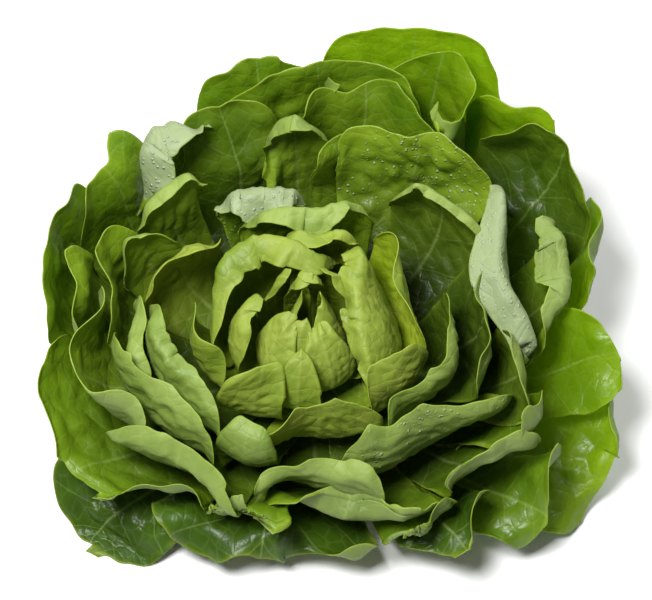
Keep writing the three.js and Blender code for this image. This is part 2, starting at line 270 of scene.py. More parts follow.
# What sets a leaf apart from its kind.
# roll: how far the rim rolls over, in degrees, at even steps from the side with the lower azimuth.
#   Outwards is positive. A rim rolled inwards is a hood that shows its underside.
# strip: width of what rolls, in millimetres.
# taper: how much narrower the strip is at both sides. skew: how much of it moves to the first.
# calm: how far a strip that is folded right over loses its ruffles.
# sides: how far the two side margins roll.
# trim: how much of its length the leaf keeps.
# blister: height of its blisters. tone: how light it is. painted_foot_shade: how far up from its
# foot the leaf's painted shade reaches, a darkening that stands in for the shade of the head's
# hollow.
# finish: the one of FINISHES that it has instead of its kind's.
LOOKS = {
    "young_leaf_03": {"roll": (-30, -50, -30), "strip": 6},
    "young_leaf_04": {"roll": (-20, -30, -20), "strip": 6, "sides": (-20, -20)},
    "young_leaf_06": {"roll": (-30, -60, -30), "strip": 6},
    "young_leaf_07": {"finish": "inner"},
    "heart_leaf_01": {"roll": (-25, -45, -25), "strip": 9, "sides": (-25, -25), "tone": 0.2},
    "heart_leaf_02": {"roll": (-40, -80, -50, -90, -40), "strip": 8, "tone": 0.3},
    "heart_leaf_03": {"roll": (-20, -30, -20), "strip": 8, "sides": (-20, -20), "tone": 0.3},
    "heart_leaf_04": {"tone": 0.1},
    "heart_leaf_05": {"roll": (-60, -50, -20), "strip": 10, "finish": "yellow"},
    "heart_leaf_06": {
        "roll": (-90, -100, -105, -105, -90), "strip": 13, "taper": 0.3, "tone": 0.2
    },
    "heart_leaf_07": {"roll": (0, -15, -20), "tone": -0.1, "finish": "yellow"},
    "heart_leaf_08": {"roll": (-50, -70, -50), "strip": 13, "finish": "yellow"},
    "heart_leaf_09": {"roll": (0, 12, 0), "tone": 0.05},
    "heart_leaf_10": {
        "roll": (-95, -115, -120, -110, -60, -20), "strip": 17, "taper": 0.7, "tone": -0.1
    },
    "heart_leaf_11": {"tone": -0.3},
    "heart_leaf_12": {"roll": (0, 10, 0)},
    "inner_leaf_01": {"finish": "olive"},
    "inner_leaf_02": {"roll": (-60, -110, -110, -60), "strip": 13, "taper": 0.8, "tone": 0.2},
    "inner_leaf_04": {
        "roll": (-70, -95, -70, -40), "strip": 7, "taper": 0.8, "finish": "olive"
    },
    "inner_leaf_05": {"roll": (-30, -45, -30), "tone": 0.2},
    "inner_leaf_06": {"roll": (-30, -80, -60, -20), "strip": 9},
    "inner_leaf_07": {"roll": (0, -10, -10), "tone": 0.2, "finish": "dewy"},
    "inner_leaf_08": {"painted_foot_shade": 1.15, "finish": "olive"},
    "inner_leaf_09": {"roll": (-100, -122, -110), "strip": 21, "taper": 0.9, "finish": "painted_sheen"},
    "inner_leaf_10": {
        "roll": (-10, -45, -30, -50), "strip": 12, "tone": 0.6, "finish": "yellow"
    },
    "inner_leaf_12": {"roll": (-10, -50, -30), "strip": 10, "tone": 0.55},
    "inner_leaf_13": {"roll": (0, -50, -20), "strip": 10, "tone": 0.5},
    "inner_leaf_14": {"roll": (0, -25, 0)},
    "inner_leaf_15": {
        "roll": (-95, -108, -105, -95), "strip": 19, "taper": 0.65, "skew": 0.3, "calm": 1,
        "blister": 0.8, "finish": "painted_sheen",
    },
    "inner_leaf_16": {"roll": (-60, -100, -80), "strip": 9, "tone": 0.4},
    "inner_leaf_17": {"roll": (-30, -85, -60), "strip": 13, "tone": 0.1},
    "inner_leaf_18": {"tone": 0.3, "painted_foot_shade": 1.1, "finish": "olive"},
    "wrapper_leaf_01": {"roll": (-20, -50, -30), "strip": 16, "tone": 0.2},
    "wrapper_leaf_02": {"tone": 0.5},
    "wrapper_leaf_03": {"blister": 5.0, "tone": 0.25, "finish": "dewy"},
    "wrapper_leaf_04": {"roll": (-85, -105, -95), "strip": 23, "taper": 0.4, "finish": "painted_sheen"},
    "wrapper_leaf_05": {"tone": 0.6},
    "wrapper_leaf_06": {"painted_foot_shade": 1.15},
    "wrapper_leaf_08": {"roll": (-50, -70, -50), "strip": 18, "tone": 0.3},
    "wrapper_leaf_10": {"tone": 0.35},
    "wrapper_leaf_12": {
        "roll": (-75, -98, -95, -75), "strip": 26, "taper": 0.9, "calm": 1, "blister": 0.8,
        "tone": 0.3,
    },
    "outer_leaf_03": {"trim": 0.98},
    "outer_leaf_05": {"tone": 0.55},
    "outer_leaf_06": {"tone": 0.3, "painted_foot_shade": 1.35},
    "outer_leaf_07": {"finish": "see_through_and_painted_light"},
    "outer_leaf_08": {"roll": (10, 30, 10, 40, 10, 0), "trim": 0.91, "finish": "painted_shade"},
    "outer_leaf_10": {"finish": "painted_shade"},
    "outer_leaf_11": {"finish": "see_through_and_painted_light"},
    "outer_leaf_12": {"finish": "see_through_and_painted_light"},
    "outer_leaf_14": {"sides": (-120, 0), "trim": 0.98, "finish": "see_through_and_painted_light"},
    "outer_leaf_15": {"finish": "painted_shade"},
    "outer_leaf_16": {"sides": (0, -120), "finish": "see_through_and_painted_light"},
    "outer_leaf_17": {"roll": (0, -40, -80), "finish": "see_through_and_painted_light"},
}


def smoothstep(value, low, high):
    """3t^2 - 2t^3 of the value's place t between low and high."""
    t = np.clip((value - low) / (high - low), 0, 1)
    return t * t * (3 - 2 * t)


def mix(a, b, t):
    """a at t = 0 and b at t = 1."""
    return a + (b - a) * t


def spline(values, place):
    """Catmull-Rom curve through values at even steps, its end values repeated, at a place that
    runs from 0 to 1."""
    last = len(values) - 1
    values = np.array(values, float)
    low = np.clip(np.floor(place * last).astype(int), 0, last - 1)
    t = place * last - low
    before, start, end, after = (values[np.clip(low + step, 0, last)] for step in (-1, 0, 1, 2))
    leave = (end - before) / 2
    arrive = (after - start) / 2
    cubic = 2 * (start - end) + leave + arrive
    square = 3 * (end - start) - 2 * leave - arrive
    return ((cubic * t + square) * t + leave) * t + start


def waves(coordinates, length, seed, count=16):
    """Even noise: a sum of sines of about one wavelength that run in all directions of the
    coordinates' space, with phases drawn from the seed, scaled to stay mostly within -1 and 1."""
    draw = np.random.default_rng(seed)
    directions = draw.normal(size=(count, len(coordinates)))
    directions /= np.linalg.norm(directions, axis=1, keepdims=True)
    numbers = math.tau / length * draw.uniform(0.75, 1.3, count)
    phases = draw.uniform(0, math.tau, count)
    total = 0
    for direction, number, phase in zip(directions, numbers, phases):
        distance = sum(part * value for part, value in zip(direction, coordinates))
        total = total + np.sin(number * distance + phase)
    return total * 0.85 / math.sqrt(count)


def own_waves(coordinates, wave, seed):
    """A leaf's own waves, in the coordinates given."""
    length, step = wave
    return waves(coordinates, length, seed + step)


def head_radius(azimuth):
    """Radius of the outermost layer: a circle, fuller towards one side and cut back at another."""
    fuller = HEAD_LOPSIDED * np.cos(np.radians(azimuth - FULLER_SIDE))
    towards_short = np.maximum(0, np.cos(np.radians(azimuth - SHORT_SIDE)))
    return HEAD_RADIUS + fuller - SHORT_SIDE_CUT * towards_short**SHORT_SIDE_POWER


def layer_of(reach, azimuth):
    """The layer that has this reach: the reach over the head's radius, to a power."""
    return (reach / head_radius(azimuth)) ** LAYER_POWER


def rim_height(layer, azimuth):
    """Height of a layer's rim: lower outside, and tilted up towards the back."""
    middle = HEART_HEIGHT - OUTER_DROP * layer**DROP_POWER
    tilt = HEART_TILT + OUTER_TILT * layer**TILT_POWER
    return middle + tilt * np.sin(np.radians(azimuth))


def foot_radius(layer):
    """Distance from the axis at which a layer leaves the stem."""
    return mix(STEM_TIP_RADIUS, STEM_BASE_RADIUS, np.sqrt(layer))


def foot_height(layer):
    """Height at which a layer leaves the stem."""
    return mix(STEM_TOP, LOWEST_LEAF, layer)


def layer_point(layer, azimuth, rise):
    """A layer's point: a cubic curve from the stem through the belly to the rim, taken at rise
    and turned to the azimuth about the axis. Returns distance from the axis and height."""
    reach = head_radius(azimuth) * layer ** (1 / LAYER_POWER)
    height = rim_height(layer, azimuth)
    foot_out = foot_radius(layer)
    foot_up = foot_height(layer)
    to_back = np.sin(np.radians(azimuth))
    cup = mix(INNER_BELLY - FRONT_CUP * to_back, OUTER_BELLY, smoothstep(layer, CLOSING_ENDS, 1))
    closing = (1 - smoothstep(layer, 0, CLOSING_ENDS)) * (1 - to_back) / 2
    belly = reach * cup + HEART_FULLNESS * closing
    sag = (SAG + SAG_WITH_HEIGHT * height) * layer**2
    outs = (foot_out, mix(foot_out, belly, FLOOR_SHARE), belly, reach)
    ups = (foot_up, foot_up - sag, mix(foot_up, height, BELLY_HEIGHT), height)
    weights = ((1 - rise) ** 3, 3 * rise * (1 - rise) ** 2, 3 * rise**2 * (1 - rise), rise**3)
    out = sum(weight * value for weight, value in zip(weights, outs))
    up = sum(weight * value for weight, value in zip(weights, ups))
    return out, up


def unit(vectors):
    """The vectors, each divided by its length."""
    return vectors / np.maximum(np.linalg.norm(vectors, axis=-1, keepdims=True), 1e-9)


def bent(points, angle):
    """Rolls a surface along its rows. Each step to the next row turns by the angle there, from the
    surface's own direction towards its normal, and the steps are added up again."""
    steps = np.diff(points, axis=0)
    normals = grid_normals(points)
    normal = unit(normals[1:] + normals[:-1])
    turn = (angle[1:] + angle[:-1])[..., None] / 2
    size = np.linalg.norm(steps, axis=-1, keepdims=True)
    moved = steps * (np.cos(turn) - 1) + normal * size * np.sin(turn)
    result = points.copy()
    result[1:] += np.cumsum(moved, axis=0)
    return result


def bent_sides(points, angle):
    """Rolls both halves of a surface from its middle column outwards."""
    middle = points.shape[1] // 2
    right = bent_half(points[:, middle:], angle[:, middle:], 1)
    left = bent_half(points[:, middle::-1], angle[:, middle::-1], -1)
    return np.concatenate([left[:, :0:-1], right], axis=1)


def bent_half(points, angle, sign):
    """Rolls one half, whose columns run from the middle out. Columns taken as rows turn the
    surface's normal round, on the half that isn't mirrored, so the angle changes sign there."""
    return bent(points.swapaxes(0, 1), -sign * angle.T).swapaxes(0, 1)


def fold(share):
    """How much of its angle a strip has turned through, by the share of its width: a fold takes
    most of the turn in its first half, and what is left of the strip lies flat."""
    return smoothstep(share, -0.1, 0.4)


def strip_lost(angle, width):
    """How much lower a rim comes to lie when a strip of that width folds through the angle: the
    width less the highest point of the folded strip, its steps added up."""
    shares = np.linspace(0, 1, FOLD_STEPS)[:, None]
    heights = np.cumsum(np.cos(angle * fold(shares)), axis=0) / len(shares)
    return width * (1 - heights.max(axis=0))


def rim_roll(row, look, across, size, seed):
    """How the rim rolls, at each place across: the angle in radians, and the width of the strip
    that rolls. Where nothing is said, the back's rims roll a little outwards and the front's
    inwards. Angle and width sway along the rim, and the angle eases out at the corners."""
    azimuth, spread = row[:2]
    to_back = math.sin(math.radians(azimuth))
    plain = to_back * (BACK_ROLL if to_back > 0 else FRONT_ROLL)
    sway = ROLL_SWING * own_waves([across * spread], ROLL_SWAY, seed)
    roll = spline(look.get("roll", (plain, plain)), (across + 1) / 2) + sway
    roll = np.radians(roll * smoothstep(1 - np.abs(across), 0, ROLL_EASE))
    taper = 1 - look.get("taper", 0.5) * across**2 - look.get("skew", 0) * across
    taper = taper * (1 + STRIP_SWING * own_waves([across * spread], STRIP_SWAY, seed))
    return roll, look.get("strip", STRIP_WIDTH * size) * taper


def ragged_rim(row, across, along, size, calm, seed):
    """How much longer or shorter the blade is at each place across: points, rags and nibbles,
    which grow with the third power of the place along."""
    across_mm = [across * row[1] * math.sqrt(size)]
    points = 0.4 - np.abs(own_waves(across_mm, POINTS, seed))
    ragged = POINT_SIZE * calm * points + RAG_SIZE * own_waves(across_mm, RAGS, seed)
    ragged = ragged + NIBBLE_SIZE * own_waves(across_mm, NIBBLES, seed)
    return 1 + (0.3 + 0.7 * size) * ragged * along**3


def blade_relief(name, kind, row, settings, place, size, calm):
    """How far each point moves along the surface's normal: bends and ruffles that leaves share,
    waves and crinkles at the margin, and blisters and veins away from it."""
    spread, reaches = row[1], row[4]
    shape = SHAPES[kind]
    seed = zlib.crc32(name.encode())
    x, y, shared, free, edge = (place[key] for key in ("x", "y", "shared", "free", "edge"))
    move = size * shape["bend"] * waves(shared, *BEND) * free
    ruffle = settings.ruffle * size * shape["ruffle"] * waves(shared, *RUFFLE)
    move = move + ruffle * (0.5 + 0.5 * edge) * free * calm
    reach = spline(reaches, (place["across"] + 1) / 2)
    arc = place["across"] * spread * reach.mean() / DEGREES_PER_RADIAN
    wave = own_waves([arc], MARGIN_WAVES, seed)
    move = move + settings.ruffle * size * shape["wave"] * wave * edge * free * calm
    crinkle = own_waves([x, y], CRINKLES, seed)
    move = move + settings.ruffle * shape["crinkle"] * crinkle * edge**2 * free * calm
    height = LOOKS.get(name, {}).get("blister", shape["blister"])
    least, more = BLISTER_LENGTHS
    blister = np.abs(waves([x, y], more * size + least, seed + BLISTER_SEED)) * height
    move = move - settings.blister * math.sqrt(size) * blister * free * (1 - edge)
    ridge = vein_ridge(x, y, seed) * smoothstep(place["along"], 0.02, 0.3)
    return move + VEIN_HEIGHT * ridge * (1 - edge)


def leaf_surface(name, kind, row, settings):
    """The middle surface of a leaf on a grid across and along. It leaves its own layer for the
    rim's reach, moves along its normal by its relief, and then its margins roll. Where it would
    hang below the table it lies on it."""
    azimuth, spread, age, top, reaches = row
    look = LOOKS.get(name, {})
    seed = zlib.crc32(name.encode())
    cells_across, cells_along = SHAPES[kind]["cells"]
    across = np.linspace(-1, 1, cells_across + 1)[None, :]
    along = (1 - (1 - np.linspace(0, 1, cells_along + 1)) ** ROW_POWER)[:, None]
    reach = spline(reaches, (across + 1) / 2)
    size = min(1, float(reach.mean()) / FULL_REACH)
    roll, strip = rim_roll(row, look, across, size, seed)
    calm = 1 - look.get("calm", 0.8) * smoothstep(np.abs(np.degrees(roll)), *FOLD_CALMS)

    half_width = mix(FOOT_SPREAD, spread, smoothstep(along, 0, FOOT_END))
    turn = azimuth + across * half_width
    rise = along * top * look.get("trim", 1) * (1 - CORNER_CUT * across**CORNER_POWER)
    rise = rise * ragged_rim(row, across, along, size, calm, seed)
    length = LEAST_LENGTH + LENGTH_WITH_REACH * reach
    rise = rise * (1 + strip_lost(roll, strip) / length)
    layer = mix(age, layer_of(reach, turn), np.minimum(rise, 1) ** LEAN_POWER)
    out, up = layer_point(layer, turn, rise)
    out = out + STEM_GAP * (1 - along)
    around = np.radians(turn)
    points = np.stack([out * np.cos(around), out * np.sin(around), up], axis=-1)

    x = across * np.radians(half_width) * out
    steps = np.linalg.norm(np.diff(points, axis=0), axis=-1)
    y = np.concatenate([np.zeros((1, steps.shape[1])), np.cumsum(steps, axis=0)])
    from_top = y[-1:] - y
    from_side = (1 - np.abs(across)) * np.radians(half_width) * out
    free = smoothstep(along, *FREE)
    edge = np.exp(-from_top / (RIM_DEPTH * size))
    edge = edge + np.exp(-from_side / (SIDE_DEPTH * size)) * free
    place = {"across": across, "along": along, "x": x, "y": y, "free": free}
    place["edge"] = np.minimum(edge, 1)
    place["shared"] = [100 * np.cos(around), 100 * np.sin(around), up, 60 * layer]
    relief = blade_relief(name, kind, row, settings, place, size, calm)
    points = points + grid_normals(points) * relief[..., None]

    points = bent(points, roll * np.where(from_top < strip, fold(1 - from_top / strip), 0))
    sides = np.radians(np.array(look.get("sides", SIDE_ROLLS)))
    side = np.where(across < 0, sides[0], sides[1]) * free
    side_share = np.clip(1 - from_side / (SIDE_STRIP_WIDTH * size), 0, 1)
    points = bent_sides(points, side * side_share)
    points[..., 2] = lying(points[..., 2])
    return {
        "points": points,
        "x": x,
        "y": y,
        "along": along * np.ones_like(x),
        "margin": np.minimum(from_top, from_side / np.maximum(free, 0.05)),
        "tone": look.get("tone", 0.25 * float(own_waves([0.0], TONE, seed))),
        # How far up from the foot the painted shade of the head's hollow reaches.
        "painted_foot_shade": look.get("painted_foot_shade", 1.0 if size > 0.5 else 0.6),
    }


def lying(height):
    """Heights kept above the table: softplus, which falls to LYING_HEIGHT without a kink."""
    softly = np.clip((height - LYING_HEIGHT) / LYING_SOFTNESS, -30, 30)
    lift = LYING_SOFTNESS * np.log1p(np.exp(softly))
    clear = height > LYING_HEIGHT + 10 * LYING_SOFTNESS
    return np.where(clear, height, LYING_HEIGHT + lift)


def vein_ridge(x, y, seed):
    """Side veins, evenly spaced, that leave the midrib upwards and outwards, and the midrib. Each
    is a rounded ridge, one at its middle."""
    wander = 2.5 * own_waves([x, y], VEIN_WANDER, seed)
    lane = (y - VEIN_SLOPE * np.abs(x) + wander) / VEIN_SPACING
    off = np.abs(lane - np.round(lane)) * VEIN_SPACING
    side = np.exp(-((off / SIDE_VEIN_WIDTH) ** 2))
    midrib = np.exp(-((x / MIDRIB_WIDTH) ** 2))
    return np.maximum(side, midrib)


def shell_thickness(surface, reaches):
    """Half the leaf's thickness: thin blade, thinner margin, and a thick midrib near the foot."""
    foot = (1 - surface["along"]) ** 1.6
    bulge = MIDRIB_BULGE * min(1, np.mean(reaches) / 90)
    midrib = bulge * foot * np.exp(-((surface["x"] / 5) ** 2))
    return mix(MARGIN_HALF, BLADE_HALF, np.clip(surface["margin"] / 4, 0, 1)) + midrib


def grid_normals(points):
    """Normals of a grid: the cross product of its two directions."""
    return unit(np.cross(np.gradient(points, axis=1), np.gradient(points, axis=0)))


def closed_shell(name, surface, thickness):
    """A closed mesh from a surface: an outer face away from it by the thickness, an inner face
    that is flatter and closer, and a strip round the edge that joins them. The places on the
    blade are kept on it as a UV map, and what the finish follows as attributes."""
    points = surface["points"]
    rows, columns = points.shape[:2]
    normal = grid_normals(points)
    outer = points + normal * thickness[..., None]
    outer[..., 2] = np.maximum(outer[..., 2], 0)
    inner = points - normal * (INNER_SHARE * thickness + INNER_LEAST)[..., None]
    corners = np.arange(rows * columns).reshape(rows, columns)
    a, b = corners[:-1, :-1], corners[:-1, 1:]
    c, d = corners[1:, 1:], corners[1:, :-1]
    face = np.stack([a, b, c, d], axis=-1).reshape(-1, 4)
    back = face[:, ::-1] + rows * columns
    foot, side = corners[0, :-1], corners[:-1, -1]
    rim, other_side = corners[-1, :0:-1], corners[:0:-1, 0]
    loop = np.concatenate([foot, side, rim, other_side])
    after = np.roll(loop, -1)
    strip = np.stack([after, loop, loop + rows * columns, after + rows * columns], axis=-1)
    faces = np.concatenate([face, back, strip]).astype(np.int32)
    places = np.concatenate([outer.reshape(-1, 3), inner.reshape(-1, 3)]) * MM

    mesh = bpy.data.meshes.new(name)
    mesh.vertices.add(len(places))
    mesh.vertices.foreach_set("co", places.astype(np.float32).ravel())
    mesh.loops.add(faces.size)
    mesh.loops.foreach_set("vertex_index", faces.ravel())
    mesh.polygons.add(len(faces))
    mesh.polygons.foreach_set("loop_start", np.arange(0, faces.size, 4, dtype=np.int32))
    mesh.polygons.foreach_set("use_smooth", np.ones(len(faces), bool))
    mesh.update(calc_edges=True)

    blade = np.stack([surface["x"] / BLADE_SPAN + 0.5, surface["y"] / BLADE_SPAN], axis=-1)
    blade = np.tile(blade.reshape(-1, 2), (2, 1)).astype(np.float32)
    mesh.uv_layers.new(name="blade").data.foreach_set("uv", blade[faces.ravel()].ravel())
    both_faces = {
        "margin": np.exp(-surface["margin"] / 0.7),
        "along": surface["along"],
        "tone": np.full_like(surface["along"], surface["tone"]),
        # Weight of the painted shade: full at the foot, fading out by the reach that the leaf's
        # look gives.
        "painted_foot_shade": np.clip((surface["painted_foot_shade"] - surface["along"]) * 1.6, 0, 1),
    }
    for key, value in both_faces.items():
        flat = np.tile(value.ravel(), 2).astype(np.float32)
        mesh.attributes.new(key, "FLOAT", "POINT").data.foreach_set("value", flat)
    underside = np.repeat([1.0, 0.0], rows * columns).astype(np.float32)
    mesh.attributes.new("underside", "FLOAT", "POINT").data.foreach_set("value", underside)
    mesh.validate()
    return mesh


class Socket:
    """A shader value that takes part in Python sums. Each sign adds its Math node."""

    def __init__(self, tree, link):
        self.tree = tree
        self.link = link

    def math(self, operation, *values):
        """The Math node of that operation on the values."""
        node = self.tree.nodes.new("ShaderNodeMath")
        node.operation = operation
        for place, value in enumerate(values):
            if isinstance(value, Socket):
                self.tree.links.new(value.link, node.inputs[place])
            else:
                node.inputs[place].default_value = value
        return Socket(self.tree, node.outputs[0])

    def __add__(self, other):
        return self.math("ADD", self, other)

    __radd__ = __add__

    def __mul__(self, other):
        return self.math("MULTIPLY", self, other)

    __rmul__ = __mul__

    def __sub__(self, other):
        return self.math("SUBTRACT", self, other)

    def __rsub__(self, other):
        return self.math("SUBTRACT", other, self)

    def __truediv__(self, other):
        return self.math("DIVIDE", self, other)

    def __pow__(self, other):
        return self.math("POWER", self, other)

    def __abs__(self):
        return self.math("ABSOLUTE", self)

    def clamp(self):
        """The value kept between 0 and 1."""
        return self.math("MINIMUM", self.math("MAXIMUM", self, 0.0), 1.0)


class Finish:
    """A material under construction."""

    def __init__(self, name):
        self.material = bpy.data.materials.new(name)
        self.material.use_nodes = True
        self.tree = self.material.node_tree
        self.tree.nodes.clear()

    def node(self, kind, settings=None, inputs=None):
        """Adds a node: its settings first, then the values or links of its sockets."""
        node = self.tree.nodes.new(kind)
        for key, value in (settings or {}).items():
            setattr(node, key, value)
        for key, value in (inputs or {}).items():
            if isinstance(value, Socket):
                self.tree.links.new(value.link, node.inputs[key])
            else:
                node.inputs[key].default_value = value
        return node

    def out(self, node, key=0):
        """One of a node's outputs, ready for sums."""
        return Socket(self.tree, node.outputs[key])

    def attribute(self, name):
        """A number that is kept on the mesh."""
        node = self.node("ShaderNodeAttribute", {"attribute_name": name})
        return self.out(node, "Fac")

    def blend(self, a, b, factor):
        """Colour a, turning to colour b as factor goes from 0 to 1."""
        settings = {"data_type": "RGBA", "blend_type": "MIX"}
        node = self.node("ShaderNodeMix", settings, {0: factor, 6: a, 7: b})
        return self.out(node, 2)

    def noise(self, place, scale, detail):
        """Even noise around one half."""
        inputs = {"Vector": place, "Scale": scale, "Detail": detail}
        return self.out(self.node("ShaderNodeTexNoise", {}, inputs), 0)

    def surface(self, shader):
        """Makes the shader what the material shows."""
        self.node("ShaderNodeOutputMaterial", {}, {"Surface": shader})


def rgb(colour):
    """The colour with an opaque alpha."""
    return (*colour, 1.0)


def vein_lines(finish, blade, along, net):
    """Veins from 0 to 1: the midrib, side veins spaced as the raised ones are, and a fine net."""
    split = finish.node("ShaderNodeSeparateXYZ", {}, {0: blade})
    x = (finish.out(split, "X") - 0.5) * BLADE_SPAN
    y = finish.out(split, "Y") * BLADE_SPAN
    wander = finish.noise(blade, WANDER_SCALE, 2.0) - 0.5
    lane = (y - abs(x) * VEIN_SLOPE + wander * 14.0) / VEIN_SPACING
    off = abs(lane - lane.math("ROUND", lane)) * VEIN_SPACING
    side = (1.0 - off / 0.55).clamp()
    midrib = (1.0 - abs(x) / (MIDRIB_WIDTH - along * 1.6)).clamp()
    return (side * 0.45 + midrib * 0.7 + net * 0.12).clamp()


def leaf_colour(finish, look, place, veins, settings):
    """The blade's colour: mottled green above and paler below, a pale sheen painted on the
    underside near the rim if the look has one, painted shade that darkens the foot as the head's
    hollow would shade it, pale veins and a light margin. Also returns the mottle."""
    underside = finish.attribute("underside")
    mottle = finish.noise(place, MOTTLE_SCALE, 5.0) * 2.6 - 1.05
    mottle = mottle + finish.noise(place, FLECK_SCALE, 3.0) * 0.5
    mottle = (mottle + finish.attribute("tone")).clamp()
    upper = finish.blend(rgb(look["upper"]), rgb(look["upper_light"]), mottle)
    lower = finish.blend(rgb(look["under"]), rgb(look["under_light"]), mottle)
    # A pale sheen painted on the underside near the rim, in place of the light that the
    # folded-over rim catches.
    if "painted_sheen" in look:
        painted_sheen_mask = (finish.attribute("along") * 3.0 - 1.7).clamp()
        lower = finish.blend(lower, rgb(look["painted_sheen"]), painted_sheen_mask * 0.9)
    colour = finish.blend(upper, lower, underside)
    # Painted shade: the foot colour laid over the leaf from its foot upwards, weaker on the
    # underside, in place of the shade in the head's hollow.
    painted_shade = finish.attribute("painted_foot_shade") * (0.88 - underside * 0.4)
    colour = finish.blend(colour, rgb(look["foot"]), painted_shade)
    colour = finish.blend(colour, rgb(look["vein"]), veins * settings.vein)
    margin = (finish.attribute("margin") * 0.4).clamp()
    return finish.blend(colour, rgb(look["margin"]), margin), mottle


def leaf_finish(name, look, settings):
    """Fresh leaf: a glossier green upper face, a paler and duller underside, pale veins, a fine
    net between them, a light margin, drops of dew with a painted glint on them, and light that
    comes through the blade."""
    finish = Finish(name)
    blade = finish.out(finish.node("ShaderNodeUVMap", {"uv_map": "blade"}), 0)
    place = finish.out(finish.node("ShaderNodeTexCoord"), "Object")
    cells = finish.out(
        finish.node(
            "ShaderNodeTexVoronoi",
            {"feature": "DISTANCE_TO_EDGE", "voronoi_dimensions": "2D"},
            {"Vector": blade, "Scale": NET_SCALE},
        ),
        "Distance",
    )
    net = (1.0 - cells * 9.0).clamp()
    veins = vein_lines(finish, blade, finish.attribute("along"), net)
    colour, mottle = leaf_colour(finish, look, place, veins, settings)

    quilt = (cells * 3.0).clamp() * 0.2 + finish.noise(place, QUILT_SCALE, 2.0) * 2.2
    grain = finish.noise(place, GRAIN_SCALE, 3.0) * 0.7
    pores = finish.noise(place, PORE_SCALE, 2.0) * 0.16
    relief = quilt - net * 0.12 + grain + pores
    if look["dew"]:
        drops = finish.node("ShaderNodeTexVoronoi", {}, {"Vector": place, "Scale": DROP_SCALE})
        wet = (finish.noise(place, WET_SCALE, 2.0) * 5.0 - 2.6 + look["dew"]).clamp()
        drop_and_painted_glint = (1.0 - finish.out(drops, "Distance") * 3.4).clamp() * wet
        # The drops are raised in the bump; their pale colour is a painted glint in place of their
        # highlights.
        colour = finish.blend(colour, rgb(PAINTED_DROP_GLINT), drop_and_painted_glint * 0.8)
        relief = relief + drop_and_painted_glint * 3.0
    bump_inputs = {"Strength": 0.6, "Distance": 0.001, "Height": relief}
    bump = finish.node("ShaderNodeBump", {}, bump_inputs)
    roughness = finish.attribute("underside") * 0.16 + 0.33 + mottle * 0.1
    skin = {
        "Base Color": colour,
        "Roughness": roughness,
        "Normal": finish.out(bump),
        "Specular IOR Level": look["gloss"],
    }
    shader = finish.node("ShaderNodeBsdfPrincipled", {}, skin)
    through = finish.node("ShaderNodeBsdfTranslucent", {}, {"Color": rgb(look["through"])})
    both = {0: look["see_through"], 1: finish.out(shader), 2: finish.out(through)}
    finish.surface(finish.out(finish.node("ShaderNodeMixShader", {}, both)))
    return finish.material


# Sizes of the finishes' patterns, in cells to the metre, or to one unit of the blade's UV map for
# the net of veins and the wander of the side veins.
NET_SCALE = 62.0
WANDER_SCALE = 9.0
MOTTLE_SCALE = 42.0
FLECK_SCALE = 260.0
QUILT_SCALE = 60.0
GRAIN_SCALE = 190.0
PORE_SCALE = 900.0
DROP_SCALE = 330.0
WET_SCALE = 30.0
STAIN_SCALE = 260.0
CUT_HEIGHT = 0.0008  # metres of the stem's skin that the browned cut takes in

# The leaves' colours, each with that of its lighter patches. foot is painted shade, a dark green
# laid over the lower leaf in place of the shade in the head's hollow. through is the colour of the
# light that comes through the blade, see_through its share, gloss the shine of the skin, and dew
# how much of the skin is under drops.
# Pale colour painted on the drops as their glint.
PAINTED_DROP_GLINT = (0.75, 0.80, 0.72)
HEART_FINISH = {
    "upper": (0.15, 0.26, 0.008),
    "upper_light": (0.30, 0.41, 0.025),
    "under": (0.19, 0.29, 0.022),
    "under_light": (0.33, 0.42, 0.055),
    "foot": (0.06, 0.12, 0.008),
    "vein": (0.46, 0.52, 0.14),
    "margin": (0.38, 0.47, 0.05),
    "through": (0.80, 0.90, 0.06),
    "see_through": 0.18,
    "gloss": 0.5,
    "dew": 0.0,
}
INNER_FINISH = HEART_FINISH | {
    "upper": (0.13, 0.25, 0.008),
    "upper_light": (0.27, 0.41, 0.020),
    "under": (0.18, 0.28, 0.036),
    "under_light": (0.30, 0.41, 0.085),
    "foot": (0.022, 0.048, 0.003),
    "vein": (0.36, 0.45, 0.13),
    "margin": (0.33, 0.43, 0.035),
    "through": (0.66, 0.86, 0.03),
}
WRAPPER_FINISH = INNER_FINISH | {
    "upper": (0.10, 0.20, 0.004),
    "upper_light": (0.20, 0.32, 0.010),
    "under": (0.18, 0.27, 0.045),
    "under_light": (0.27, 0.37, 0.085),
    "vein": (0.40, 0.52, 0.16),
    "margin": (0.42, 0.54, 0.04),
    "through": (0.55, 0.80, 0.02),
}
OUTER_FINISH = WRAPPER_FINISH | {
    "upper": (0.085, 0.18, 0.003),
    "upper_light": (0.17, 0.29, 0.007),
    "under": (0.15, 0.24, 0.04),
    "under_light": (0.23, 0.33, 0.075),
    "vein": (0.36, 0.50, 0.13),
    "margin": (0.40, 0.52, 0.03),
}
